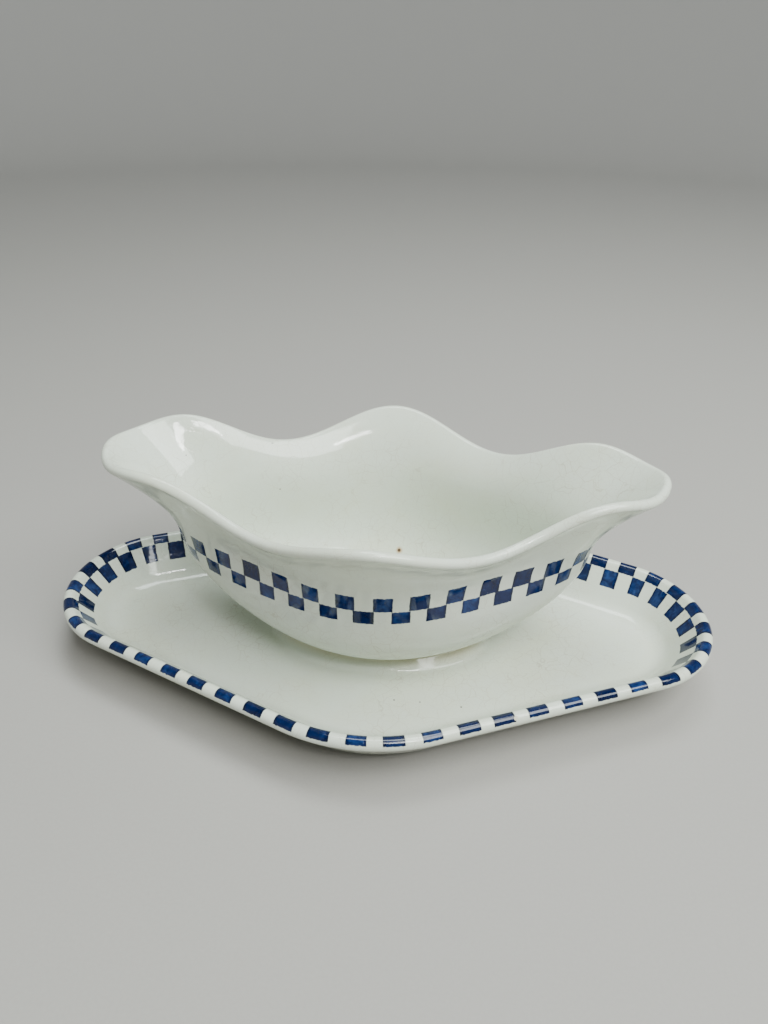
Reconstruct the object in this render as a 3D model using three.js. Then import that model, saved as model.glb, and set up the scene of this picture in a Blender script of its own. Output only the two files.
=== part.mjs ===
// Two-lipped gravy boat standing loose on its oblong stand.
// Millimetres. Origin at the middle of the stand's resting face, +X along the dish, +Z up.
import * as THREE from "three";

// Stand: rim centreline, four straight sides with a round corner at each end and each side.
const STAND_HALF_LENGTH = 124.6;
const STAND_HALF_WIDTH = 71.6;
const STAND_END_RADIUS = 36;
const STAND_SIDE_RADIUS = 64;
const STAND_RIM_HEIGHT = 21.6;
const STAND_RIM_RADIUS = 2.4;
const STAND_SLOPE_DEG = 52;
const STAND_WELL_HEIGHT = 8;
const STAND_UNDERSIDE_HEIGHT = 3.6;
const STAND_BEND_RADIUS = 9;
const STAND_FOOT_INSET = 28;
const STAND_FOOT_WIDTH = 5;
// A low collar with a sloping flank rises round the socket that takes the boat's foot.
// Corners of its section are [out from the socket, above the well, rounding].
const SOCKET_HALF_LENGTH = 37;
const SOCKET_HALF_WIDTH = 19;
const COLLAR_SECTION = [[9, 0, 0], [6.6, 0, 3], [2.2, 4.4, 0.8], [0, 3.3, 0.4], [0, 0, 0]];

// Boat: foot, wall and rim. The wall's middle surface is swept through four control rings.
const GAP = 0.3;
const FOOT_HALF_LENGTH = 36.5;
const FOOT_HALF_WIDTH = 18.5;
const FOOT_WIDTH = 4;
const FLOOR_UNDERSIDE = 10.8;
const FLOOR_DISH = 1.2;
const WALL_HALF_LOW = 2.3;
const WALL_HALF_RIM = 1.8;
const WALL_START = { halfLength: 34, halfWidth: 16, height: 13.3 };
const WALL_BELLY = { halfLength: 102, halfWidth: 50, pinch: 4.5, height: 43.5, lift: 13.5 };
const WALL_NECK = { halfLength: 52.5, halfWidth: 20, pinch: 5.5, height: 50, lift: -4.5 };
// The wavy rim is a sum of waves over one turn: [turns, size] pairs.
const RIM_LENGTH_WAVES = [[1, 97.1], [2, -0.6], [3, 1.6]];
const RIM_WIDTH_WAVES = [[1, 42.3], [2, -0.7], [3, -4], [4, -0.6], [5, 4.6], [7, -1.6]];
const RIM_HEIGHT_WAVES = [[0, 80.4], [1, -1.1], [2, 5.1], [6, -3.4], [8, 2.4]];

const BOAT_AROUND = 80;
const WALL_STEPS = 12;
const RIM_STEPS = 6;
const CORNER_STEPS = 4;

const glaze = new THREE.MeshStandardMaterial({ color: 0xe6e7dc, roughness: 0.15 });

const degrees = (angle) => (angle * Math.PI) / 180;

/** Closed mesh through rings of equal length, with one point closing each end. */
function closedSkin(name, start, rings, end) {
  const around = rings[0].length;
  const points = [start, ...rings.flat(), end];
  const faces = [];
  const at = (ring, i) => 1 + ring * around + (i % around);
  for (let i = 0; i < around; i++) {
    faces.push(0, at(0, i + 1), at(0, i));
    for (let ring = 0; ring + 1 < rings.length; ring++) {
      faces.push(at(ring, i), at(ring, i + 1), at(ring + 1, i + 1));
      faces.push(at(ring, i), at(ring + 1, i + 1), at(ring + 1, i));
    }
    faces.push(points.length - 1, at(rings.length - 1, i), at(rings.length - 1, i + 1));
  }
  const geometry = new THREE.BufferGeometry().setFromPoints(points).setIndex(faces);
  geometry.computeVertexNormals();
  const mesh = new THREE.Mesh(geometry, glaze);
  mesh.name = name;
  return mesh;
}

/** Replaces the corner b of the path a, b, c with an arc that touches both sides. */
function roundedCorner(a, b, c, radius, steps = CORNER_STEPS) {
  const toA = a.clone().sub(b).normalize();
  const toC = c.clone().sub(b).normalize();
  const half = Math.acos(THREE.MathUtils.clamp(toA.dot(toC), -1, 1)) / 2;
  const middle = toA.clone().add(toC).normalize();
  const centre = b.clone().addScaledVector(middle, radius / Math.sin(half));
  const first = b.clone().addScaledVector(toA, radius / Math.tan(half)).sub(centre);
  const last = b.clone().addScaledVector(toC, radius / Math.tan(half)).sub(centre);
  const sweep = first.angleTo(last);
  return Array.from({ length: steps + 1 }, (_, i) => {
    const from = Math.sin((1 - i / steps) * sweep) / Math.sin(sweep);
    const to = Math.sin((i / steps) * sweep) / Math.sin(sweep);
    return centre.clone().addScaledVector(first, from).addScaledVector(last, to);
  });
}

const flat = (inset, height) => new THREE.Vector2(inset, height);

// The straight side touches both corner circles; its normal makes this angle with the length.
const endCentre = STAND_HALF_LENGTH - STAND_END_RADIUS;
const sideCentre = STAND_HALF_WIDTH - STAND_SIDE_RADIUS;
const sideAngle =
  Math.acos((STAND_SIDE_RADIUS - STAND_END_RADIUS) / Math.hypot(endCentre, sideCentre)) -
  Math.atan2(sideCentre, endCentre);

/** One quarter of the stand's outline, moved in by `inset`, from the end to the side. */
function standQuarter(inset) {
  const points = [];
  const arc = (x, y, radius, from, to, steps) => {
    for (let i = 0; i < steps; i++) {
      const angle = from + ((to - from) * i) / steps;
      points.push([x + radius * Math.cos(angle), y + radius * Math.sin(angle)]);
    }
  };
  arc(endCentre, 0, STAND_END_RADIUS - inset, 0, sideAngle, 8);
  const corner = (x, y, radius) => [
    x + radius * Math.cos(sideAngle),
    y + radius * Math.sin(sideAngle),
  ];
  const low = corner(endCentre, 0, STAND_END_RADIUS - inset);
  const high = corner(0, sideCentre, STAND_SIDE_RADIUS - inset);
  for (let i = 0; i < 6; i++)
    points.push([0, 1].map((axis) => low[axis] + ((high[axis] - low[axis]) * i) / 6));
  arc(0, sideCentre, STAND_SIDE_RADIUS - inset, sideAngle, Math.PI / 2, 4);
  return points;
}

/** The full outline at one height, mirrored from the quarter. */
function standRing(inset, height) {
  const quarter = standQuarter(inset);
  const top = [0, STAND_HALF_WIDTH - inset];
  const right = [...quarter, top, ...quarter.slice(1).reverse().map(([x, y]) => [-x, y])];
  return [...right, ...right.map(([x, y]) => [-x, -y])].map(
    ([x, y]) => new THREE.Vector3(x, y, height),
  );
}

/** An oval `out` from the socket's edge, its points in the directions of the stand's ring. */
function collarRing(out, above) {
  const halfLength = SOCKET_HALF_LENGTH + out;
  const halfWidth = SOCKET_HALF_WIDTH + out;
  const height = STAND_WELL_HEIGHT + above;
  return standRing(STAND_FOOT_INSET, height).map((point) => {
    const angle = Math.atan2(point.y / halfWidth, point.x / halfLength);
    return new THREE.Vector3(halfLength * Math.cos(angle), halfWidth * Math.sin(angle), height);
  });
}

function buildStand() {
  const slope = degrees(STAND_SLOPE_DEG);
  const inward = Math.sin(slope) * STAND_RIM_RADIUS;
  const upward = Math.cos(slope) * STAND_RIM_RADIUS;
  const reach = (fromInset, fromHeight, height) =>
    flat(fromInset + (fromHeight - height) / Math.tan(slope), height);
  const innerTop = flat(inward, STAND_RIM_HEIGHT + upward);
  const outerTop = flat(-inward, STAND_RIM_HEIGHT - upward);
  const innerFoot = reach(innerTop.x, innerTop.y, STAND_WELL_HEIGHT);
  const outerFoot = reach(outerTop.x, outerTop.y, STAND_UNDERSIDE_HEIGHT);
  const footIn = STAND_FOOT_INSET + STAND_FOOT_WIDTH;
  const profile = [
    flat(footIn + 0.8, STAND_UNDERSIDE_HEIGHT),
    ...roundedCorner(
      flat(footIn + 0.8, STAND_UNDERSIDE_HEIGHT),
      flat(footIn, 0),
      flat(STAND_FOOT_INSET, 0),
      0.9,
      2,
    ),
    ...roundedCorner(
      flat(footIn, 0),
      flat(STAND_FOOT_INSET, 0),
      flat(STAND_FOOT_INSET - 0.8, STAND_UNDERSIDE_HEIGHT),
      0.9,
      2,
    ),
    flat(STAND_FOOT_INSET - 0.8, STAND_UNDERSIDE_HEIGHT),
    ...roundedCorner(
      flat(STAND_FOOT_INSET - 0.8, STAND_UNDERSIDE_HEIGHT),
      outerFoot,
      outerTop,
      STAND_BEND_RADIUS + 2 * STAND_RIM_RADIUS,
    ),
    outerTop,
  ];
  for (let i = 1; i < RIM_STEPS; i++) {
    const angle = 1.5 * Math.PI - slope - (Math.PI * i) / RIM_STEPS;
    profile.push(
      flat(
        STAND_RIM_RADIUS * Math.cos(angle),
        STAND_RIM_HEIGHT + STAND_RIM_RADIUS * Math.sin(angle),
      ),
    );
  }
  profile.push(innerTop);
  const wellEdge = flat(STAND_FOOT_INSET, STAND_WELL_HEIGHT);
  profile.push(...roundedCorner(innerTop, innerFoot, wellEdge, STAND_BEND_RADIUS), wellEdge);
  const rings = profile.map(({ x, y }) => standRing(x, y));
  const corners = COLLAR_SECTION.map(([out, above]) => flat(out, above));
  const section = corners.flatMap((corner, i) => {
    const radius = COLLAR_SECTION[i][2];
    return radius ? roundedCorner(corners[i - 1], corner, corners[i + 1], radius, 3) : [corner];
  });
  rings.push(...section.map(({ x, y }) => collarRing(x, y)));
  const below = new THREE.Vector3(0, 0, STAND_UNDERSIDE_HEIGHT);
  const above = new THREE.Vector3(0, 0, STAND_WELL_HEIGHT);
  return closedSkin("stand", below, rings, above);
}

const waves = (pairs, shape, turn) =>
  pairs.reduce((sum, [turns, size]) => sum + size * shape(turns * turn), 0);

/** A control ring of the wall: an oval, pinched towards its ends, that rises or dips there. */
function controlPoint({ halfLength, halfWidth, pinch = 0, height, lift = 0 }, turn) {
  return new THREE.Vector3(
    halfLength * Math.cos(turn),
    halfWidth * Math.sin(turn) - pinch * Math.sin(3 * turn),
    height + lift * Math.cos(2 * turn),
  );
}

/** Middle surface of the wall: `rise` runs from 0 at the floor to 1 at the rim. */
function wallMiddle(rise, turn) {
  const rim = new THREE.Vector3(
    waves(RIM_LENGTH_WAVES, Math.cos, turn),
    waves(RIM_WIDTH_WAVES, Math.sin, turn),
    waves(RIM_HEIGHT_WAVES, Math.cos, turn),
  );
  const fall = 1 - rise;
  return controlPoint(WALL_START, turn)
    .multiplyScalar(fall ** 3)
    .addScaledVector(controlPoint(WALL_BELLY, turn), 3 * rise * fall ** 2)
    .addScaledVector(controlPoint(WALL_NECK, turn), 3 * rise ** 2 * fall)
    .addScaledVector(rim, rise ** 3);
}

/** Point, outward normal and upward tangent of the middle surface. */
function wallFrame(rise, turn) {
  const step = 1e-4;
  const up = wallMiddle(rise + step, turn).sub(wallMiddle(rise - step, turn)).normalize();
  const along = wallMiddle(rise, turn + step).sub(wallMiddle(rise, turn - step)).normalize();
  return { point: wallMiddle(rise, turn), out: along.cross(up).normalize(), up };
}

/** Ring of points beside the middle surface: outside for side 1, inside for side -1. */
function wallRing(rise, side) {
  const half = WALL_HALF_LOW + (WALL_HALF_RIM - WALL_HALF_LOW) * rise;
  return turns((turn) => {
    const { point, out } = wallFrame(rise, turn);
    return point.addScaledVector(out, side * half);
  });
}

const turns = (point) =>
  Array.from({ length: BOAT_AROUND }, (_, i) => point((2 * Math.PI * i) / BOAT_AROUND));

const ovalRing = (inset, height) =>
  turns(
    (turn) =>
      new THREE.Vector3(
        (FOOT_HALF_LENGTH - inset) * Math.cos(turn),
        (FOOT_HALF_WIDTH - inset) * Math.sin(turn),
        height,
      ),
  );

function buildBoat() {
  const footHeight = STAND_WELL_HEIGHT + GAP;
  const rings = [
    ovalRing(FOOT_WIDTH + 0.8, FLOOR_UNDERSIDE),
    ovalRing(FOOT_WIDTH + 0.3, footHeight + 0.5),
    ovalRing(FOOT_WIDTH - 0.3, footHeight),
    ovalRing(0.6, footHeight),
    ovalRing(0, footHeight + 0.5),
    ovalRing(0.4, footHeight + 1.6),
  ];
  for (let i = 0; i <= WALL_STEPS; i++) rings.push(wallRing(i / WALL_STEPS, 1));
  for (let i = 1; i < RIM_STEPS; i++) {
    const angle = (Math.PI * i) / RIM_STEPS;
    rings.push(
      turns((turn) => {
        const { point, out, up } = wallFrame(1, turn);
        return point
          .addScaledVector(out, WALL_HALF_RIM * Math.cos(angle))
          .addScaledVector(up, WALL_HALF_RIM * Math.sin(angle));
      }),
    );
  }
  for (let i = WALL_STEPS; i >= 0; i--) rings.push(wallRing(i / WALL_STEPS, -1));
  const inner = rings[rings.length - 1];
  const floorHeight = inner[0].z - FLOOR_DISH;
  for (const size of [0.8, 0.5])
    rings.push(
      inner.map(
        ({ x, y, z }) =>
          new THREE.Vector3(size * x, size * y, floorHeight + (z - floorHeight) * size ** 3),
      ),
    );
  const below = new THREE.Vector3(0, 0, FLOOR_UNDERSIDE);
  return closedSkin("sauce_boat", below, rings, new THREE.Vector3(0, 0, floorHeight));
}

const group = new THREE.Group();
group.add(buildStand(), buildBoat());

export default group;
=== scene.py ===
"""Gravy boat with a pouring lip at each end, standing loose on its oblong stand.

Both pieces are cream faience under one crazed glaze, with blue checks painted by hand. Everything is in
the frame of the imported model, in metres: the origin is the middle of the stand's resting face, X runs
along the dish and Z points up. Shapes are worked out in millimetres and scaled once, when a mesh is made.
"""

from __future__ import annotations

import logging
import math
from dataclasses import dataclass, field
from enum import Enum

import bpy
import numpy as np
from mathutils import Matrix, Vector

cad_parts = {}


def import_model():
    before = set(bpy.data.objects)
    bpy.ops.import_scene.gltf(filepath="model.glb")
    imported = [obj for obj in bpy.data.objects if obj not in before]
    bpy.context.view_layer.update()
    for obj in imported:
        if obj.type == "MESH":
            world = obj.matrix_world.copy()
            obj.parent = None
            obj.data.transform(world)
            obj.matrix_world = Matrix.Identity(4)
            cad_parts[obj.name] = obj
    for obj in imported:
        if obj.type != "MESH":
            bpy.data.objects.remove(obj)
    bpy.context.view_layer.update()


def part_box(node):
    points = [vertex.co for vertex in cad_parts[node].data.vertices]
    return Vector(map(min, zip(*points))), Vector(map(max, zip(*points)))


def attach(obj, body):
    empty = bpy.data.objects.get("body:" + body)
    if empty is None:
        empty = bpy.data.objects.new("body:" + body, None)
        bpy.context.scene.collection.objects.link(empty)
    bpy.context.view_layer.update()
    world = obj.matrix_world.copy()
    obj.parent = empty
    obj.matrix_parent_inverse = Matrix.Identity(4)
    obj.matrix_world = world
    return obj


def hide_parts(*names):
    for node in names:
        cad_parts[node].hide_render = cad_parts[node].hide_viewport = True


LOG = logging.getLogger("gravy_boat")
MM = 0.001
CHECKS_MAP = "checks"
RAGGED_FROM, RAGGED_BY = 0.6, 0.8  # noise makes a spot's radius 0.6 to 1.4 of its own size
POLE_SHARE = 0.06  # the last ring before a pole, as a share of the first one
UNPAINTED = -50.0  # a distance across the border that is far from every row, in millimetres

Colour = tuple[float, float, float]
Point = tuple[float, float, float]
Waves = tuple[tuple[int, float], ...]


class Body(Enum):
    """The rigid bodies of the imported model."""

    STAND = "stand"
    BOAT = "sauce_boat"


class Slot(Enum):
    """The record's material slots."""

    STAND = "stand_glaze"
    BOAT = "boat_glaze"


# ---------------------------------------------------------------------------------------------------
# Shader sheet: a thin layer over a material's nodes
# ---------------------------------------------------------------------------------------------------


class Wire:
    """One output of a node, with the arithmetic that adds Math nodes behind it."""

    def __init__(self, sheet: Sheet, socket: bpy.types.NodeSocket) -> None:
        """Keeps the sheet that new nodes go on and the socket this value comes from."""
        self.sheet = sheet
        self.socket = socket

    def math(self, operation: str, *others: Wire | float) -> Wire:
        """Adds one Math node.

        Args:
            operation: the Math node's operation.
            others: the values of its further inputs, in order.

        Returns:
            The node's value.
        """
        node = self.sheet.node(
            "ShaderNodeMath", {"operation": operation}, dict(enumerate((self, *others)))
        )
        return Wire(self.sheet, node.outputs[0])

    def __add__(self, other: Wire | float) -> Wire:
        """Sum."""
        return self.math("ADD", other)

    __radd__ = __add__

    def __mul__(self, other: Wire | float) -> Wire:
        """Product."""
        return self.math("MULTIPLY", other)

    __rmul__ = __mul__

    def __sub__(self, other: Wire | float) -> Wire:
        """Difference."""
        return self.math("SUBTRACT", other)

    def __rsub__(self, other: float) -> Wire:
        """Difference from a number, such as 1 - mask."""
        return self.math("MULTIPLY_ADD", -1.0, other)

    def __abs__(self) -> Wire:
        """Size without its sign."""
        return self.math("ABSOLUTE")

    def or_else(self, other: Wire) -> Wire:
        """The larger of two masks."""
        return self.math("MAXIMUM", other)

    def fade(self, start: float, end: float | Wire, low: float = 0.0, high: float = 1.0) -> Wire:
        """Smooth step: `low` before start, `high` after end, and an S curve between.

        Args:
            start: the value at which the step begins.
            end: the value at which it is complete.
            low: the result before start.
            high: the result after end.

        Returns:
            The stepped value.
        """
        settings = {"interpolation_type": "SMOOTHSTEP"}
        values = {"Value": self, "From Min": start, "From Max": end, "To Min": low, "To Max": high}
        node = self.sheet.node("ShaderNodeMapRange", settings, values)
        return Wire(self.sheet, node.outputs["Result"])


class Sheet:
    """The node tree of one material, and the few kinds of node that the glazes are drawn with."""

    def __init__(self, name: str) -> None:
        """Starts a material whose tree holds only its output."""
        self.material = bpy.data.materials.new(name)
        self.material.use_nodes = True
        self.tree = self.material.node_tree
        self.tree.nodes.clear()
        self.place = self.output("ShaderNodeTexCoord", {}, {}, "Object")

    def node(
        self, kind: str, settings: dict[str, object], inputs: dict[str | int, object]
    ) -> bpy.types.Node:
        """Adds a node.

        Args:
            kind: the node's type.
            settings: attributes set before its sockets; "stops" holds a ramp's places and colours.
            inputs: numbers, colours or wires for its sockets, by name or number.

        Returns:
            The new node.
        """
        node = self.tree.nodes.new(kind)
        for key, value in settings.items():
            if key == "stops":
                ramp = node.color_ramp.elements
                for i, (place, colour) in enumerate(value):
                    stop = ramp[i] if i < len(ramp) else ramp.new(place)
                    stop.position = place
                    stop.color = (*colour, 1.0)
            else:
                setattr(node, key, value)
        for key, value in inputs.items():
            socket = node.inputs[key]
            if isinstance(value, Wire):
                self.tree.links.new(value.socket, socket)
            elif isinstance(value, tuple) and len(value) == 3 and socket.type == "RGBA":
                socket.default_value = (*value, 1.0)
            else:
                socket.default_value = value
        return node

    def output(
        self,
        kind: str,
        settings: dict[str, object],
        inputs: dict[str | int, object],
        name: str | int = 0,
    ) -> Wire:
        """Adds a node as `node` does and returns the wire of one of its outputs."""
        return Wire(self, self.node(kind, settings, inputs).outputs[name])

    def noise(
        self, per_metre: float, detail: float = 2.0, rough: float = 0.5, warp: float = 0.0
    ) -> Wire:
        """Soft noise from 0 to 1 over the object.

        Args:
            per_metre: blotches to the metre.
            detail: how many finer layers lie over them.
            rough: how strong the finer layers are.
            warp: how far the pattern is pulled about.

        Returns:
            The noise.
        """
        inputs = {
            "Vector": self.place,
            "Scale": per_metre,
            "Detail": detail,
            "Roughness": rough,
            "Distortion": warp,
        }
        return self.output("ShaderNodeTexNoise", {}, inputs, "Fac")

    def chance(self, index: Wire, seed: float) -> Wire:
        """A random number from 0 to 1 for each whole number of `index`."""
        settings = {"noise_dimensions": "1D"}
        return self.output("ShaderNodeTexWhiteNoise", settings, {"W": index + seed}, "Value")

    def blend(self, share: Wire | float, first: Wire | Colour, second: Wire | Colour) -> Wire:
        """Colour between two others.

        Args:
            share: how much of the second colour there is, from 0 to 1.
            first: the colour where share is 0.
            second: the colour where share is 1.

        Returns:
            The mixed colour.
        """
        inputs = {
            "Factor_Float": share,
            "A_Color": first,
            "B_Color": second,
        }
        node = self.node("ShaderNodeMix", {"data_type": "RGBA"}, {})
        for socket in node.inputs:
            value = inputs.get(socket.identifier)
            if isinstance(value, Wire):
                self.tree.links.new(value.socket, socket)
            elif value is not None:
                socket.default_value = (*value, 1.0) if isinstance(value, tuple) else value
        return Wire(self, next(s for s in node.outputs if s.identifier == "Result_Color"))

    def axis(self, name: str) -> Wire:
        """The X, Y or Z of the place on the object, in metres."""
        return self.output("ShaderNodeSeparateXYZ", {}, {0: self.place}, name)

    def distance(self, point: Point, warped: Wire | None = None) -> Wire:
        """Distance from a point.

        Args:
            point: the point, in millimetres.
            warped: noise from 0 to 1 that makes a round drawn with the distance ragged.

        Returns:
            The distance, in millimetres.
        """
        centre = tuple(MM * value for value in point)
        inputs = {0: self.place, 1: centre}
        reach = self.output("ShaderNodeVectorMath", {"operation": "DISTANCE"}, inputs, "Value")
        far = reach * (1 / MM)
        return far if warped is None else far * (warped * RAGGED_BY + RAGGED_FROM)


# ---------------------------------------------------------------------------------------------------
# Finishes
# ---------------------------------------------------------------------------------------------------


@dataclass(frozen=True)
class CheckRow:
    """One row of painted squares, `low` to `high` millimetres from the border's middle line.

    The row is shifted by a share of a pair, and a square takes up its own share of a pair's length.
    """

    low: float
    high: float
    shift: float
    share: float = 0.5


@dataclass(frozen=True)
class CheckBorder:
    """Rows of blue squares laid with a brush along a border.

    The checks map gives the place: its first value counts pairs of squares along the border and its
    second is the distance across it in millimetres. The lengths are in millimetres too: edge is how
    soft a square's outline is, waver how far it wanders, uneven how much squares differ in length and
    place, and wet_edge where the paint starts and stops being thicker, in from a square's ends.
    """

    rows: tuple[CheckRow, ...]
    pairs: int
    pair_length: float
    edge: float = 0.14
    waver: float = 0.28
    uneven: float = 0.55
    wet_edge: tuple[float, float] = (0.1, 1.3)
    deep: Colour = (0.0012, 0.0042, 0.024)
    middle: Colour = (0.0035, 0.012, 0.060)
    thin: Colour = (0.014, 0.050, 0.18)

    def cover(self, sheet: Sheet) -> tuple[Wire, Wire]:
        """Draws the squares.

        Args:
            sheet: the material's sheet.

        Returns:
            Where there is paint, from 0 to 1, and how thick it lies, from 0 to 1.
        """
        marks = sheet.output("ShaderNodeUVMap", {"uv_map": CHECKS_MAP}, {}, "UV")
        split = sheet.node("ShaderNodeSeparateXYZ", {}, {0: marks})
        shake = sheet.noise(420.0, 2.0) - 0.5
        sway = sheet.noise(900.0, 1.0) - 0.5
        along = Wire(sheet, split.outputs["X"]) + shake * (1.6 * self.waver / self.pair_length)
        across = Wire(sheet, split.outputs["Y"]) + sway * (2.2 * self.waver)
        width_seed, place_seed, row_seed = 11.3, 71.9, 37.0
        paint: Wire | None = None
        depth: Wire | None = None
        for number, row in enumerate(self.rows):
            turn = along + (row.shift + 0.5)
            index = turn.math("FLOOR").math("FLOORED_MODULO", float(self.pairs))
            luck = sheet.chance(index, width_seed + row_seed * number)
            drift = (sheet.chance(index, place_seed + row_seed * number) - 0.5) * self.uneven
            off = abs((turn.math("FRACT") - 0.5) * self.pair_length + drift)
            half = (luck - 0.5) * self.uneven + 0.5 * row.share * self.pair_length
            side = (half - off).fade(-self.edge, self.edge)
            lift = (luck - 0.5) * (0.6 * self.uneven)
            low = (across + lift).fade(row.low - self.edge, row.low + self.edge)
            high = (across - lift).fade(row.high - self.edge, row.high + self.edge, 1.0, 0.0)
            square = side * low * high
            rim = (half - off).fade(*self.wet_edge, 1.0, 0.0)
            thick = (rim * 0.34 + luck * 0.36) * square
            paint = square if paint is None else paint.or_else(square)
            depth = thick if depth is None else depth + thick
        return paint, depth

    def ink(self, sheet: Sheet, depth: Wire) -> Wire:
        """The blue itself, from a thin wash to near black where the brush left more.

        Args:
            sheet: the material's sheet.
            depth: how thick the paint lies, from 0 to 1.

        Returns:
            The paint's colour.
        """
        stroke = sheet.noise(330.0, 5.0, 0.62, 0.6)
        body = depth * 0.75 + stroke * 0.95 - 0.12
        stops = ((0.18, self.thin), (0.48, self.middle), (0.82, self.deep))
        return sheet.output("ShaderNodeValToRGB", {"stops": stops}, {"Fac": body}, "Color")


@dataclass(frozen=True)
class Fleck:
    """A speck of iron in the glaze, with a rusty halo where `halo` is over 0. Millimetres."""

    place: Point
    radius: float = 0.35
    halo: float = 0.0


@dataclass(frozen=True)
class Nick:
    """A small chip in the glaze that shows the pale clay. Millimetres."""

    place: Point
    radius: float = 0.9


@dataclass(frozen=True)
class CrazedGlaze:
    """Cream tin glaze, glossy, crazed all over, with flecks, worn places and a darker, yellower band round
    the join of boat and stand that is partly pooled glaze and partly painted shade.
    """

    cream: Colour = (0.71, 0.764, 0.675)
    shade: Colour = (0.69, 0.722, 0.575)
    craze: Colour = (0.44, 0.40, 0.30)
    # painted shade mixed with pooled glaze: the darker, yellower colour of the band round the join of boat
    # and stand
    pooled_and_shaded: Colour = (0.60, 0.54, 0.36)
    clay: Colour = (0.62, 0.54, 0.43)
    iron: Colour = (0.035, 0.022, 0.016)
    rust: Colour = (0.50, 0.27, 0.09)
    gloss: float = 0.045
    flecks: tuple[Fleck, ...] = ()
    nicks: tuple[Nick, ...] = ()

    def cracks(self, sheet: Sheet, per_metre: float, width: float) -> Wire:
        """Net of craze lines: near the borders between the cells of a warped Voronoi pattern.

        Args:
            sheet: the material's sheet.
            per_metre: cells to the metre.
            width: how far the lines reach to each side, in millimetres.

        Returns:
            1 on a line and 0 away from it.
        """
        bend = sheet.output(
            "ShaderNodeTexNoise", {}, {"Vector": sheet.place, "Scale": 95.0, "Detail": 3.0}, "Color"
        )
        push = sheet.output(
            "ShaderNodeVectorMath",
            {"operation": "MULTIPLY_ADD"},
            {0: bend, 1: (0.006, 0.006, 0.006), 2: sheet.place},
        )
        border = sheet.output(
            "ShaderNodeTexVoronoi",
            {"feature": "DISTANCE_TO_EDGE"},
            {"Vector": push, "Scale": per_metre, "Randomness": 1.0},
            "Distance",
        )
        return border.fade(0.0, width * per_metre * MM, 1.0, 0.0)

    def specks(self, sheet: Sheet, per_metre: float, radius: float, share: float) -> Wire:
        """Scattered pin specks: the middles of a few of the cells of a Voronoi pattern.

        Args:
            sheet: the material's sheet.
            per_metre: cells to the metre.
            radius: a speck's radius, in millimetres.
            share: the share of the cells' colours that is picked out.

        Returns:
            1 on a speck and 0 away from it.
        """
        cells = sheet.node(
            "ShaderNodeTexVoronoi", {}, {"Vector": sheet.place, "Scale": per_metre}
        )
        near = Wire(sheet, cells.outputs["Distance"])
        dot = near.fade(0.5 * radius * per_metre * MM, radius * per_metre * MM, 1.0, 0.0)
        luck = sheet.output("ShaderNodeSeparateColor", {}, {0: Wire(sheet, cells.outputs["Color"])})
        return dot * luck.fade(1.0 - share, 1.001 - share)

    def flecked(self, sheet: Sheet, colour: Wire, ragged: Wire) -> Wire:
        """Lays the flecks, and the rusty halo of those that have one, over the colour.

        Args:
            sheet: the material's sheet.
            colour: the glaze's colour so far.
            ragged: noise for their outlines.

        Returns:
            The colour with its flecks.
        """
        for fleck in self.flecks:
            near = sheet.distance(fleck.place, ragged)
            if fleck.halo:
                ring = near.fade(0.3 * fleck.halo, fleck.halo, 0.75, 0.0)
                colour = sheet.blend(ring, colour, self.rust)
            spot = near.fade(0.5 * fleck.radius, fleck.radius, 0.9, 0.0)
            colour = sheet.blend(spot, colour, self.iron)
        return colour

    def bared(self, sheet: Sheet, foot_height: float, ragged: Wire) -> Wire:
        """Where the clay shows: under the foot and in the nicks.

        Args:
            sheet: the material's sheet.
            foot_height: the height in millimetres below which the clay is bare.
            ragged: noise for the nicks' outlines.

        Returns:
            1 on bare clay and 0 on glaze.
        """
        height = sheet.axis("Z") * (1 / MM)
        bare = height.fade(foot_height - 0.1, foot_height + 0.15, 1.0, 0.0)
        for nick in self.nicks:
            near = sheet.distance(nick.place, ragged)
            bare = bare.or_else(near.fade(0.8 * nick.radius, nick.radius, 1.0, 0.0))
        return bare

    def surface(
        self, name: str, border: CheckBorder, pool_and_shade: JoinPoolAndShade, foot_height: float
    ) -> bpy.types.Material:
        """Draws the whole finish of one piece.

        Args:
            name: the material's name.
            border: the painted checks.
            pool_and_shade: the band round the join of boat and stand where glaze has pooled and shade is
                painted in.
            foot_height: the height in millimetres below which the clay is bare.

        Returns:
            The finished material.
        """
        sheet = Sheet(name)
        slow = sheet.noise(26.0, 3.0, 0.55, 0.4)
        fine = sheet.noise(170.0, 4.0, 0.6)
        colour = sheet.blend((slow * 0.8 + fine * 0.35 - 0.2).fade(0.15, 0.85), self.cream, self.shade)

        # Band round the join of boat and stand, darker and yellower: partly pooled glaze, partly painted
        # shade where the boat overhangs the stand.
        pooled_and_shaded_share = pool_and_shade.strength(sheet) * (slow * 0.7 + 0.5)
        colour = sheet.blend(pooled_and_shaded_share, colour, self.pooled_and_shaded)

        patches = sheet.noise(44.0, 2.0).fade(0.38, 0.66)
        wide = self.cracks(sheet, 185.0, 0.12) * (patches * 0.40 + 0.10)
        narrow = self.cracks(sheet, 430.0, 0.08) * (patches * 0.24 + 0.06)
        lines = wide.or_else(narrow)
        colour = sheet.blend(lines, colour, self.craze)

        dust = self.specks(sheet, 60.0, 0.30, 0.13).or_else(self.specks(sheet, 150.0, 0.15, 0.12))
        colour = sheet.blend(dust * 0.62, colour, self.iron)

        paint, depth = border.cover(sheet)
        rubbed = sheet.noise(620.0, 4.0, 0.7).fade(0.70, 0.80, 1.0, 0.45)
        colour = sheet.blend(paint * rubbed, colour, border.ink(sheet, depth))

        ragged = sheet.noise(700.0, 2.0)
        colour = self.flecked(sheet, colour, ragged)
        bare = self.bared(sheet, foot_height, ragged)
        grit = sheet.noise(1500.0, 3.0, 0.7)
        colour = sheet.blend(bare, colour, sheet.blend(grit, self.clay, self.shade))

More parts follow.
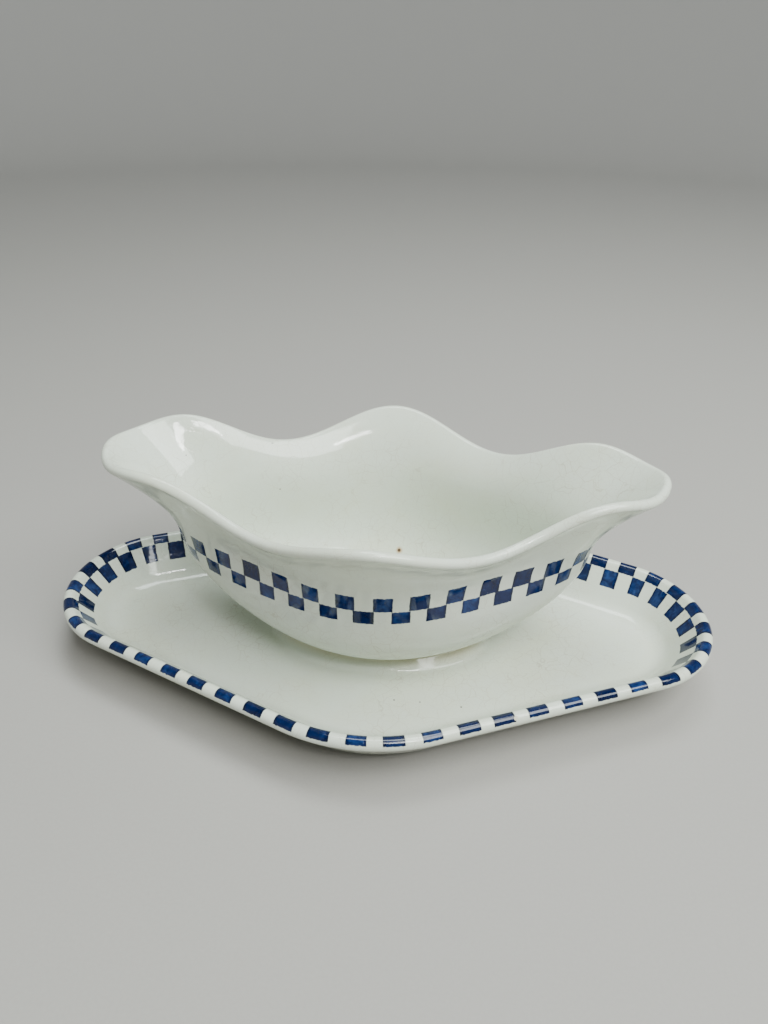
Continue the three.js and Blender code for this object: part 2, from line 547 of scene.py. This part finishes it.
        smear = sheet.noise(32.0, 4.0, 0.6, 1.0).fade(0.35, 0.8, 0.0, 0.08)
        rough = smear + self.gloss + lines * 0.2 + bare * 0.6 + dust * 0.2
        relief = (
            sheet.noise(48.0, 1.0) * 0.16
            + sheet.noise(210.0, 2.0) * 0.03
            + paint * 0.012
            - wide * 0.02
            - bare * 0.12
            + bare * grit * 0.08
        )
        bump = sheet.output(
            "ShaderNodeBump", {}, {"Strength": 1.0, "Distance": MM, "Height": relief}, "Normal"
        )
        shader = sheet.output(
            "ShaderNodeBsdfPrincipled",
            {},
            {"Base Color": colour, "Roughness": rough, "IOR": 1.52, "Normal": bump},
            "BSDF",
        )
        sheet.node("ShaderNodeOutputMaterial", {}, {"Surface": shader})
        return sheet.material


@dataclass(frozen=True)
class JoinPoolAndShade:
    """An oval line at one height round the join of boat and stand, where melted glaze has gathered and
    shade is painted in as a darker, yellower band. Millimetres.
    """

    half_length: float
    half_width: float
    height: float
    spread: float
    rise: float

    def strength(self, sheet: Sheet) -> Wire:
        """How much pooled glaze and painted shade there is: 1 on the line, falling to 0 beside and above
        it.

        Args:
            sheet: the material's sheet.

        Returns:
            The amount, from 0 to 1.
        """
        flat = (1 / self.half_length, 1 / self.half_width, 0.0)
        scale = tuple(value / MM for value in flat)
        drawn_in = sheet.output(
            "ShaderNodeVectorMath", {"operation": "MULTIPLY"}, {0: sheet.place, 1: scale}
        )
        radius = sheet.output(
            "ShaderNodeVectorMath", {"operation": "LENGTH"}, {0: drawn_in}, "Value"
        )
        beside = abs(radius - 1.0).fade(0.0, self.spread / self.half_width, 1.0, 0.0)
        above = abs(sheet.axis("Z") * (1 / MM) - self.height).fade(0.0, self.rise, 1.0, 0.0)
        return beside * above


# ---------------------------------------------------------------------------------------------------
# Surfaces
# ---------------------------------------------------------------------------------------------------


def skin(name: str, rings: np.ndarray, marks: np.ndarray, finish: bpy.types.Material) -> bpy.types.Object:
    """Closes a stack of rings into one smooth shell with a pole at each end.

    Each cell between two rings and two columns is one face, and each end ring is joined to its own middle.

    Args:
        name: the piece's name.
        rings: places in millimetres, as (ring, column, 3), in the order that makes faces look outwards.
        marks: checks map as (ring, column + 1, 2), its last column being the first one after a full turn.
        finish: the piece's material.

    Returns:
        The finished object, at the origin.
    """
    layers, columns = rings.shape[:2]
    poles = rings[[0, -1]].mean(axis=1)
    points = np.concatenate([rings.reshape(-1, 3), poles]) * MM
    ring, column = np.meshgrid(np.arange(layers - 1), np.arange(columns), indexing="ij")
    after = (column + 1) % columns
    cells = np.stack(
        [
            ring * columns + column,
            ring * columns + after,
            (ring + 1) * columns + after,
            (ring + 1) * columns + column,
        ],
        axis=-1,
    ).reshape(-1, 4)
    one = np.arange(columns)
    two = (one + 1) % columns
    last = (layers - 1) * columns
    foot = np.stack([np.full(columns, layers * columns), two, one], axis=-1)
    crown = np.stack([np.full(columns, layers * columns + 1), last + one, last + two], axis=-1)
    mesh = bpy.data.meshes.new(name)
    mesh.from_pydata(points.tolist(), [], cells.tolist() + foot.tolist() + crown.tolist())
    cell_marks = np.stack(
        [
            marks[ring, column],
            marks[ring, column + 1],
            marks[ring + 1, column + 1],
            marks[ring + 1, column],
        ],
        axis=2,
    ).reshape(-1, 2)
    foot_marks = np.stack([marks[0, :-1], marks[0, 1:], marks[0, :-1]], axis=1).reshape(-1, 2)
    crown_marks = np.stack([marks[-1, :-1], marks[-1, :-1], marks[-1, 1:]], axis=1).reshape(-1, 2)
    layer = mesh.uv_layers.new(name=CHECKS_MAP)
    values = np.concatenate([cell_marks, foot_marks, crown_marks]).astype(np.float32)
    layer.data.foreach_set("uv", values.ravel())
    mesh.shade_smooth()
    mesh.materials.append(finish)
    piece = bpy.data.objects.new(name, mesh)
    bpy.context.scene.collection.objects.link(piece)
    return piece


def travelled(path: np.ndarray, axis: int = 0) -> np.ndarray:
    """Length along a path, or along many side by side: the running sum of the steps' lengths.

    Args:
        path: the points, their coordinates last.
        axis: the axis that the path runs along.

    Returns:
        The length from the first point to each point.
    """
    steps = np.linalg.norm(np.diff(path, axis=axis), axis=-1)
    start = np.zeros_like(np.take(steps, [0], axis=axis))
    return np.concatenate([start, np.cumsum(steps, axis=axis)], axis=axis)


def rounded(points: list[tuple[float, float, float]], step: float) -> np.ndarray:
    """Path through corners, each replaced by an arc that touches both of its sides.

    Args:
        points: (inset, height, radius of the corner), in millimetres.
        step: the longest distance between the points of the result.

    Returns:
        The path's points, as (count, 2).
    """
    corners = np.array([point[:2] for point in points])
    pieces = [corners[:1]]
    for (x, y, radius), before, after in zip(points[1:-1], corners, corners[2:]):
        corner = np.array([x, y])
        back, ahead = before - corner, after - corner
        back, ahead = back / np.linalg.norm(back), ahead / np.linalg.norm(ahead)
        half = 0.5 * math.acos(float(np.clip(back @ ahead, -1, 1)))
        middle = (back + ahead) / np.linalg.norm(back + ahead)
        centre = corner + middle * radius / math.sin(half)
        first = corner + back * radius / math.tan(half) - centre
        last = corner + ahead * radius / math.tan(half) - centre
        sweep = math.pi - 2 * half
        share = np.linspace(0, 1, max(3, 1 + math.ceil(sweep * radius / (0.6 * step))))[:, None]
        turn = (np.sin((1 - share) * sweep) * first + np.sin(share * sweep) * last) / math.sin(sweep)
        pieces.append(centre + turn)
    pieces.append(corners[-1:])
    filled = []
    for start, end in zip(pieces, pieces[1:]):
        count = max(1, math.ceil(np.linalg.norm(end[0] - start[-1]) / step))
        between = np.linspace(start[-1], end[0], count + 1)[1:-1]
        filled += [start, between]
    return np.concatenate([*filled, pieces[-1]])


@dataclass
class Stand:
    """The oblong dish that the boat stands on. Millimetres.

    The collar's corners are (out from the socket, above the well, rounding). The painter's checks slip
    by `drift` of a pair near the place `drift_at` of the way round, more sharply the higher its power.
    """

    low: Vector
    high: Vector
    end_radius: float = 36.0
    side_radius: float = 64.0
    rim_radius: float = 2.4
    slope: float = math.radians(52)
    well_height: float = 8.0
    underside: float = 3.6
    bend_radius: float = 9.0
    foot_inset: float = 28.0
    foot_width: float = 5.0
    socket: tuple[float, float] = (37.0, 19.0)
    collar: tuple[Point, ...] = (
        (9.0, 0.0, 0.0),
        (6.6, 0.0, 3.0),
        (2.2, 4.4, 0.8),
        (0.0, 3.3, 0.4),
        (0.0, 0.0, 0.0),
    )
    columns: int = 540
    step: float = 1.1
    pairs: int = 50
    first_square: float = -0.053
    drift: float = 0.26
    drift_at: float = 0.96
    drift_power: int = 8

    def __post_init__(self) -> None:
        """Takes the rim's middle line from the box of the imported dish."""
        self.half_length = self.high.x / MM - self.rim_radius
        self.half_width = self.high.y / MM - self.rim_radius
        self.rim_height = self.high.z / MM - self.rim_radius
        self.end_centre = self.half_length - self.end_radius
        self.side_centre = self.half_width - self.side_radius
        reach = math.hypot(self.end_centre, self.side_centre)
        self.side_angle = math.acos((self.side_radius - self.end_radius) / reach) - math.atan2(
            self.side_centre, self.end_centre
        )

    def outline(self) -> tuple[np.ndarray, np.ndarray, np.ndarray, float]:
        """The rim's middle line: an arc at each end and each side, joined by straight stretches.

        Returns:
            Places and outward directions as (columns, 2), the distance along the line and its length.
        """
        end_arc = self.end_radius * self.side_angle
        side_arc = self.side_radius * (math.pi / 2 - self.side_angle)
        facing = np.array([math.cos(self.side_angle), math.sin(self.side_angle)])
        start = np.array([self.end_centre, 0.0]) + self.end_radius * facing
        stop = np.array([0.0, self.side_centre]) + self.side_radius * facing
        straight = float(np.linalg.norm(stop - start))
        quarter = end_arc + straight + side_arc
        along = np.linspace(0, 4 * quarter, self.columns, endpoint=False)
        sector = np.floor(along / quarter).astype(int)
        inside = along - sector * quarter
        mirrored = np.where(sector % 2 == 1, quarter - inside, inside)
        angle = np.where(
            mirrored < end_arc,
            mirrored / self.end_radius,
            self.side_angle + np.clip(mirrored - end_arc - straight, 0, None) / self.side_radius,
        )
        out = np.stack([np.cos(angle), np.sin(angle)], axis=-1)
        on_end = np.array([self.end_centre, 0.0]) + self.end_radius * out
        share = ((mirrored - end_arc) / straight)[:, None]
        on_straight = start + (stop - start) * share
        on_side = np.array([0.0, self.side_centre]) + self.side_radius * out
        places = np.where(
            (mirrored < end_arc)[:, None],
            on_end,
            np.where((mirrored < end_arc + straight)[:, None], on_straight, on_side),
        )
        sign = np.stack(
            [np.where((sector == 1) | (sector == 2), -1, 1), np.where(sector >= 2, -1, 1)], axis=-1
        )
        return places * sign, out * sign, along, 4 * quarter

    def section(self) -> tuple[np.ndarray, float]:
        """The dish's section, from under the foot, over the rolled rim, to the edge of the well.

        Returns:
            (inset from the rim's middle line, height) of each point, and the distance along the section
            from its start to the top of the rim.
        """
        inward = math.sin(self.slope) * self.rim_radius
        upward = math.cos(self.slope) * self.rim_radius
        outer_top = (-inward, self.rim_height - upward)
        inner_top = (inward, self.rim_height + upward)
        outer_foot = outer_top[0] + (outer_top[1] - self.underside) / math.tan(self.slope)
        inner_foot = inner_top[0] + (inner_top[1] - self.well_height) / math.tan(self.slope)
        foot_in = self.foot_inset + self.foot_width
        below = rounded(
            [
                (foot_in + 0.8, self.underside, 0),
                (foot_in, 0, 0.9),
                (self.foot_inset, 0, 0.9),
                (self.foot_inset - 0.8, self.underside, 1.2),
                (outer_foot, self.underside, self.bend_radius + 2 * self.rim_radius),
                (*outer_top, 0),
            ],
            self.step,
        )
        turn = np.linspace(1.5 * math.pi - self.slope, 0.5 * math.pi - self.slope, 22)[1:-1]
        roll = np.stack(
            [self.rim_radius * np.cos(turn), self.rim_height + self.rim_radius * np.sin(turn)],
            axis=-1,
        )
        inside = rounded(
            [
                (*inner_top, 0),
                (inner_foot, self.well_height, self.bend_radius),
                (self.foot_inset, self.well_height, 0),
            ],
            self.step,
        )
        path = np.concatenate([below, roll, inside])
        half_turn = math.pi * self.rim_radius
        outer_end = travelled(below)[-1]
        crest = outer_end + half_turn * (math.pi - self.slope) / math.pi
        return path, crest

    def build(self, finish: bpy.types.Material) -> bpy.types.Object:
        """Sweeps the section round the outline and adds the well, with the collar round its socket.

        A point `inset` from the outline lies on the inward normal, so arcs keep their centres and
        straight stretches stay straight. The collar's section is carried round the oval socket, each
        ring an ellipse that is wider than the socket by the section's distance from it.

        Args:
            finish: the glaze with its checks.

        Returns:
            The dish, riding on its body.
        """
        middle, out, along, length = self.outline()
        path, crest = self.section()
        flat = middle[None] - out[None] * path[:, None, :1]
        heights = np.broadcast_to(path[:, None, 1:], (len(path), self.columns, 1))
        swept = np.concatenate([flat, heights], axis=-1)

        edge = flat[-1]
        foot = np.array(self.socket) + self.collar[0][0]
        direction = np.arctan2(edge[:, 1] / foot[1], edge[:, 0] / foot[0])
        oval = np.stack([np.cos(direction), np.sin(direction)], axis=-1)
        share = np.linspace(0, 1, 18)[1:, None, None]
        approach = self._level(edge * (1 - share) + oval * foot * share, 0.0)
        raised = rounded(list(self.collar), 0.55)[1:, None]
        collar = self._level(oval * (np.array(self.socket) + raised[..., :1]), raised[..., 1:])
        size = np.linspace(1, POLE_SHARE, 9)[1:, None, None]
        places = np.concatenate(
            [swept, approach, collar, self._level(oval * np.array(self.socket) * size, 0.0)]
        )

        counted = along / length * self.pairs
        near = 0.5 * (np.cos(2 * math.pi * (along / length - self.drift_at)) + 1)
        slip = self.drift * near**self.drift_power
        counted = counted - 0.75 * self.pairs - self.first_square - slip
        turn = np.append(counted, counted[0] + self.pairs)
        across = travelled(places)[:, :1] - crest
        marks = np.stack(np.broadcast_arrays(turn[None], across), axis=-1)
        piece = skin("stand_glazed", places, marks, finish)
        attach(piece, Body.STAND.value)
        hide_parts(Body.STAND.value)
        return piece

    def _level(self, flat: np.ndarray, above: np.ndarray | float) -> np.ndarray:
        """Rings that lie `above` the well's floor."""
        heights = np.broadcast_to(self.well_height + above, (*flat.shape[:2], 1))
        return np.concatenate([flat, heights], axis=-1)


@dataclass(frozen=True)
class ControlRing:
    """An oval that guides the wall, pinched towards its ends, that rises or dips there. Millimetres."""

    half_length: float
    half_width: float
    height: float
    pinch: float = 0.0
    lift: float = 0.0

    def places(self, turn: np.ndarray) -> np.ndarray:
        """The ring's points: (a cos t, b sin t - c sin 3t, h + d cos 2t)."""
        return np.stack(
            [
                self.half_length * np.cos(turn),
                self.half_width * np.sin(turn) - self.pinch * np.sin(3 * turn),
                self.height + self.lift * np.cos(2 * turn),
            ],
            axis=-1,
        )


@dataclass
class Boat:
    """The sauce boat: foot, swelling wall, wavy rolled rim and a pouring lip at each end. Millimetres.

    The waves are (count in one turn, size). The middle line of the painted band has the height
    (base, lean towards +X, rise at both ends), and the rim's roll swells by `swell` of itself.
    """

    low: Vector
    high: Vector
    foot: tuple[float, float] = (36.5, 18.5)
    foot_width: float = 4.0
    floor_underside: float = 10.8
    floor_dish: float = 1.2
    half_wall_low: float = 2.3
    half_wall_rim: float = 1.8
    start: ControlRing = ControlRing(34, 16, 13.3)
    belly: ControlRing = ControlRing(102, 50, 43.5, 4.5, 13.5)
    neck: ControlRing = ControlRing(52.5, 20, 50, 5.5, -4.5)
    length_waves: Waves = ((1, 97.1), (2, -0.6), (3, 1.6))
    width_waves: Waves = ((1, 42.3), (2, -0.7), (3, -4.0), (4, -0.6), (5, 4.6), (7, -1.6))
    height_waves: Waves = ((0, 80.4), (1, -1.1), (2, 5.1), (6, -3.4), (8, 2.4))
    columns: int = 440
    wall_rows: int = 78
    rim_rows: int = 16
    pairs: int = 29
    first_square: float = 0.35
    band_height: tuple[float, float, float] = (51.3, 1.3, 1.1)
    swell: float = 0.05

    def __post_init__(self) -> None:
        """Sets the columns, and the foot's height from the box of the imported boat."""
        self.turn = np.linspace(0, 2 * math.pi, self.columns, endpoint=False)
        self.foot_height = self.low.z / MM

    def rim(self, turn: np.ndarray) -> np.ndarray:
        """The rim's middle line: sums of cosine waves for its length and height, sine for its width.

        Args:
            turn: angle round the boat.

        Returns:
            Places as (turn, 3).
        """
        length = sum(size * np.cos(count * turn) for count, size in self.length_waves)
        width = sum(size * np.sin(count * turn) for count, size in self.width_waves)
        height = sum(size * np.cos(count * turn) for count, size in self.height_waves)
        return np.stack([length, width, height], axis=-1)

    def middle(self, rise: np.ndarray, turn: np.ndarray) -> np.ndarray:
        """Middle surface of the wall: a cubic Bezier, from the floor to the rim, of four whole rings.

        Args:
            rise: 0 at the floor to 1 at the rim.
            turn: angle round the boat.

        Returns:
            Places as (rise, turn, 3).
        """
        up = rise[:, None, None]
        fall = 1 - up
        return (
            fall**3 * self.start.places(turn)
            + 3 * up * fall**2 * self.belly.places(turn)
            + 3 * up**2 * fall * self.neck.places(turn)
            + up**3 * self.rim(turn)
        )

    def frames(self, rise: np.ndarray) -> tuple[np.ndarray, np.ndarray, np.ndarray]:
        """Places and directions of the middle surface, from its differences over a small step.

        Args:
            rise: 0 at the floor to 1 at the rim.

        Returns:
            Places, outward normals (the cross product of the two tangents) and upward tangents.
        """
        step = 1e-4
        places = self.middle(rise, self.turn)
        up = self.middle(rise + step, self.turn) - self.middle(rise - step, self.turn)
        along = self.middle(rise, self.turn + step) - self.middle(rise, self.turn - step)
        up /= np.linalg.norm(up, axis=-1, keepdims=True)
        out = np.cross(along, up)
        out /= np.linalg.norm(out, axis=-1, keepdims=True)
        return places, out, up

    def underside(self) -> np.ndarray:
        """Rings of the foot: a rounded path, each point an oval drawn in from the foot's outline.

        Returns:
            Rings from the recess under the floor, round the resting edge, to the wall.
        """
        width, floor, foot = self.foot_width, self.floor_underside, self.foot_height
        path = rounded(
            [
                (width + 3.0, floor, 0),
                (width + 0.8, floor, 0.5),
                (width, foot, 0.7),
                (0.0, foot, 0.7),
                (0.5, foot + 1.9, 0),
            ],
            0.45,
        )
        shrink = np.linspace(0.1, 0.92, 7)[:, None, None]
        oval = np.stack([np.cos(self.turn), np.sin(self.turn)], axis=-1)
        ovals = oval[None] * (np.array(self.foot) - path[:, None, :1])
        heights = np.broadcast_to(path[:, None, 1:], (len(path), self.columns, 1))
        edge = np.concatenate([ovals, heights], axis=-1)
        disc = np.concatenate([shrink * edge[:1, :, :2], np.full((7, self.columns, 1), floor)], axis=-1)
        return np.concatenate([disc, edge])

    def floor(self, edge: np.ndarray) -> np.ndarray:
        """Rings of the inner floor: the wall's lowest inner ring drawn in, sinking with its cube.

        Args:
            edge: the wall's lowest inner ring.

        Returns:
            The rings, from the widest to the one round the pole.
        """
        size = np.linspace(1, POLE_SHARE, 12)[1:, None, None]
        depth = edge[0, 2] - self.floor_dish
        flat = size * edge[None, :, :2]
        height = depth + size**3 * (edge[None, :, 2:] - depth)
        return np.concatenate([flat, height], axis=-1)

    def build(self, finish: bpy.types.Material) -> bpy.types.Object:
        """Builds the boat as one closed shell.

        The wall is its middle surface moved half its thickness out and in along the normal, and the rim
        is the half circle between the two.

        Args:
            finish: the glaze with its checks.

        Returns:
            The boat, riding on its body.
        """
        rise = np.linspace(0, 1, self.wall_rows)
        places, out, _ = self.frames(rise)
        half = (self.half_wall_low + (self.half_wall_rim - self.half_wall_low) * rise)[:, None, None]
        outside = places + half * out
        inside = (places - half * out)[::-1]
        crest, crest_out, crest_up = self.frames(np.ones(1))
        angle = np.linspace(0, math.pi, self.rim_rows + 2)[1:-1, None, None]
        plump = self.half_wall_rim * (1 + self.swell * np.sin(5 * self.turn + 1.0)[None, :, None])
        roll = crest + (np.cos(angle) * self.half_wall_rim * crest_out) + np.sin(angle) * plump * crest_up
        under = self.underside()
        rings = np.concatenate([under, outside, roll, inside, self.floor(inside[-1])])

        base, lean, rise_at_ends = self.band_height
        line = base + lean * np.cos(self.turn) + rise_at_ends * np.cos(2 * self.turn)
        climbed = travelled(outside)
        start = self._crossing(outside[:, :, 2], climbed, line)
        across = np.full(rings.shape[:2], UNPAINTED)
        across[len(under) : len(under) + len(outside)] = climbed - start
        level = np.stack(
            [self._crossing(outside[:, :, 2], outside[:, :, axis], line) for axis in range(3)], axis=-1
        )
        closed = travelled(np.concatenate([level, level[:1]]))
        counted = closed / closed[-1] * self.pairs - 0.75 * self.pairs - self.first_square
        marks = np.stack(
            np.broadcast_arrays(counted[None], np.concatenate([across, across[:, :1]], axis=1)), axis=-1
        )
        piece = skin("sauce_boat_glazed", rings, marks, finish)
        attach(piece, Body.BOAT.value)
        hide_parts(Body.BOAT.value)
        return piece

    @staticmethod
    def _crossing(heights: np.ndarray, values: np.ndarray, line: np.ndarray) -> np.ndarray:
        """Value where the climbing heights pass the line: a straight mix of the two rows there.

        Args:
            heights: height of each point, as (row, column).
            values: value at each point, as (row, column).
            line: the line's height in each column.

        Returns:
            The value in each column.
        """
        above = np.argmax(heights > line[None], axis=0)
        column = np.arange(heights.shape[1])
        low, high = heights[above - 1, column], heights[above, column]
        share = (line - low) / (high - low)
        return values[above - 1, column] * (1 - share) + values[above, column] * share


# ---------------------------------------------------------------------------------------------------
# Studio
# ---------------------------------------------------------------------------------------------------


@dataclass(frozen=True)
class Softbox:
    """A rectangular studio light. Metres and watts."""

    name: str
    place: Point
    aim: Point
    size: tuple[float, float]
    power: float
    tint: Colour = (1.0, 1.0, 1.0)

    def hang(self) -> None:
        """Adds the light, turned towards its aim."""
        lamp = bpy.data.lights.new(self.name, "AREA")
        lamp.shape = "RECTANGLE"
        lamp.size, lamp.size_y = self.size
        lamp.energy = self.power
        lamp.color = self.tint
        holder = bpy.data.objects.new(self.name, lamp)
        holder.location = self.place
        holder.rotation_euler = (Vector(self.aim) - Vector(self.place)).to_track_quat("-Z", "Y").to_euler()
        bpy.context.scene.collection.objects.link(holder)


@dataclass
class Studio:
    """Round pale sweep, soft lights and the camera. Metres and degrees."""

    camera_place: Point = (0.0233, -0.2401, 0.2149)
    yaw: float = -5.335
    pitch: float = -32.03
    roll: float = 0.71
    lens: float = 27.2
    floor_radius: float = 1.3
    bend_radius: float = 0.6
    wall_top: float = 2.6
    paper: tuple[Colour, Colour] = ((0.365, 0.35, 0.33), (0.395, 0.38, 0.36))
    far_paper: Colour = (0.74, 0.73, 0.72)
    ambient: Colour = (0.88, 0.96, 1.0)
    ambient_strength: float = 0.05
    lights: tuple[Softbox, ...] = field(
        default=(
            Softbox("key", (0.52, -0.38, 1.02), (0.0, 0.0, 0.05), (0.85, 0.65), 19.5, (0.95, 1.0, 0.97)),
            Softbox("overhead", (0.08, 0.18, 1.15), (0.0, 0.0, 0.03), (0.60, 0.40), 9.0, (0.92, 1.0, 0.99)),
            Softbox("window", (0.24, -0.66, 0.86), (0.0, 0.0, 0.03), (0.26, 0.08), 2.9),
        )
    )

    def lay_sweep(self) -> None:
        """A round pale floor that curves up into a wall: a flat disc, a quarter circle, then upright.

        The section is turned about the vertical through the object's middle.
        """
        bend = np.linspace(0, math.pi / 2, 25)
        reach = np.append(
            self.floor_radius + self.bend_radius * np.sin(bend), self.floor_radius + self.bend_radius
        )
        height = np.append(self.bend_radius * (1 - np.cos(bend)), self.wall_top)
        columns = 96
        turn = np.linspace(0, 2 * math.pi, columns, endpoint=False)
        points = np.stack(
            [
                np.outer(reach, np.cos(turn)),
                np.outer(reach, np.sin(turn)),
                np.outer(height, np.ones(columns)),
            ],
            axis=-1,
        ).reshape(-1, 3)
        ring, column = np.meshgrid(np.arange(len(reach) - 1), np.arange(columns), indexing="ij")
        first, after = ring * columns, (column + 1) % columns
        faces = np.stack(
            [first + column, first + columns + column, first + columns + after, first + after], axis=-1
        ).reshape(-1, 4)
        mesh = bpy.data.meshes.new("sweep")
        mesh.from_pydata(points.tolist(), [], [list(range(columns)), *faces.tolist()])
        mesh.shade_smooth()
        mesh.materials.append(self.paper_finish())
        sweep = bpy.data.objects.new("sweep", mesh)
        bpy.context.scene.collection.objects.link(sweep)

    def paper_finish(self) -> bpy.types.Material:
        """Matt paper with a fine tooth, paler far from the object.

        Returns:
            The sweep's material.
        """
        sheet = Sheet("pale_paper")
        near = sheet.blend(sheet.noise(900.0, 2.0), *self.paper)
        away = sheet.distance((0.0, 0.0, 0.0)).fade(500.0, 2600.0)
        shader = sheet.output(
            "ShaderNodeBsdfPrincipled",
            {},
            {"Base Color": sheet.blend(away, near, self.far_paper), "Roughness": 0.85},
            "BSDF",
        )
        sheet.node("ShaderNodeOutputMaterial", {}, {"Surface": shader})
        return sheet.material

    def light(self) -> None:
        """Even ambient light from the world, and the softboxes."""
        world = bpy.data.worlds.new("studio_air")
        world.use_nodes = True
        air = world.node_tree.nodes["Background"]
        air.inputs["Color"].default_value = (*self.ambient, 1.0)
        air.inputs["Strength"].default_value = self.ambient_strength
        bpy.context.scene.world = world
        for softbox in self.lights:
            softbox.hang()

    def aim_camera(self) -> None:
        """Places the camera: yaw turns it from +Y, pitch tips it and roll turns it about its own axis."""
        yaw, pitch, roll = (math.radians(value) for value in (self.yaw, self.pitch, self.roll))
        ahead = Vector(
            (math.sin(yaw) * math.cos(pitch), math.cos(yaw) * math.cos(pitch), math.sin(pitch))
        )
        level = Vector((math.cos(yaw), -math.sin(yaw), 0.0))
        above = level.cross(ahead)
        right = math.cos(roll) * level + math.sin(roll) * above
        upward = math.cos(roll) * above - math.sin(roll) * level
        turned = Matrix((right, upward, -ahead)).transposed().to_4x4()
        lens = bpy.data.cameras.new("camera")
        lens.lens = self.lens
        lens.sensor_fit = "AUTO"
        lens.sensor_width = 36.0
        lens.clip_start = 0.01
        camera = bpy.data.objects.new("camera", lens)
        camera.matrix_world = Matrix.Translation(self.camera_place) @ turned
        bpy.context.scene.collection.objects.link(camera)
        bpy.context.scene.camera = camera

    def set_up(self) -> None:
        """Builds everything around the object."""
        self.lay_sweep()
        self.light()
        self.aim_camera()


# ---------------------------------------------------------------------------------------------------
# Dressing
# ---------------------------------------------------------------------------------------------------


def stand_finish(stand: Stand) -> bpy.types.Material:
    """The dish's glaze, with one row of checks over the rolled rim and one below it on the slope.

    Args:
        stand: the dish.

    Returns:
        Its material.
    """
    boundary = 4.4
    border = CheckBorder(
        rows=(
            CheckRow(-2.8, boundary, 0.0, 0.575),
            CheckRow(boundary, boundary + 7.6, 0.5, 0.57),
        ),
        pairs=stand.pairs,
        pair_length=12.19,
    )
    glaze = CrazedGlaze(
        flecks=(
            Fleck((9.0, -38.5, 8.0), 0.45),
            Fleck((18.4, -38.5, 8.0), 0.35),
            Fleck((33.3, -39.3, 8.0), 0.40),
        ),
        nicks=(Nick((50.6, -57.4, 23.6), 0.9), Nick((-63.0, -53.5, 22.2), 0.6)),
    )
    # Pooled glaze and painted shade on the collar, under the boat's belly.
    out, above, _ = stand.collar[2]
    pool_and_shade = JoinPoolAndShade(
        stand.socket[0] + out, stand.socket[1] + out, stand.well_height + above, 4.0, 5.0
    )
    return glaze.surface("stand_glaze_painted", border, pool_and_shade, 0.45)


def boat_finish(boat: Boat) -> bpy.types.Material:
    """The boat's glaze, with two rows of checks round the outside of its wall.

    Args:
        boat: the sauce boat.

    Returns:
        Its material.
    """
    border = CheckBorder(
        rows=(CheckRow(0.0, 6.4, 0.0, 0.55), CheckRow(-5.4, 0.0, 0.5, 0.55)),
        pairs=boat.pairs,
        pair_length=12.47,
        uneven=0.45,
        deep=(0.0015, 0.0055, 0.034),
        middle=(0.004, 0.015, 0.076),
        thin=(0.014, 0.053, 0.19),
    )
    glaze = CrazedGlaze(
        flecks=(
            Fleck((4.7, 30.4, 26.3), 1.0, 2.0),
            Fleck((-46.9, 29.4, 74.2), 0.9),
            Fleck((-76.8, 13.9, 75.4), 0.35),
            Fleck((-39.6, 27.1, 66.4), 0.3),
            Fleck((-43.2, 22.4, 57.8), 0.35),
        )
    )
    # Pooled glaze and painted shade round the boat's foot, where it meets the stand.
    pool_and_shade = JoinPoolAndShade(boat.foot[0] + 0.5, boat.foot[1] + 0.5, boat.foot_height + 2.6, 7.0, 3.4)
    return glaze.surface("boat_glaze_painted", border, pool_and_shade, boat.foot_height + 0.25)


def corners(box: tuple[Vector, Vector]) -> list[list[float]]:
    """A box as plain lists."""
    return [list(corner) for corner in box]


def main() -> None:
    """Builds the stand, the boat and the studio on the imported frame."""
    logging.basicConfig(level=logging.INFO, format="%(message)s")
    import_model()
    stand = Stand(*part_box(Body.STAND.value))
    boat = Boat(*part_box(Body.BOAT.value))
    for maker, finish in ((stand, stand_finish(stand)), (boat, boat_finish(boat))):
        piece = maker.build(finish)
        LOG.info("%s: %d faces", piece.name, len(piece.data.polygons))
    Studio().set_up()


if __name__ == "__main__":
    main()
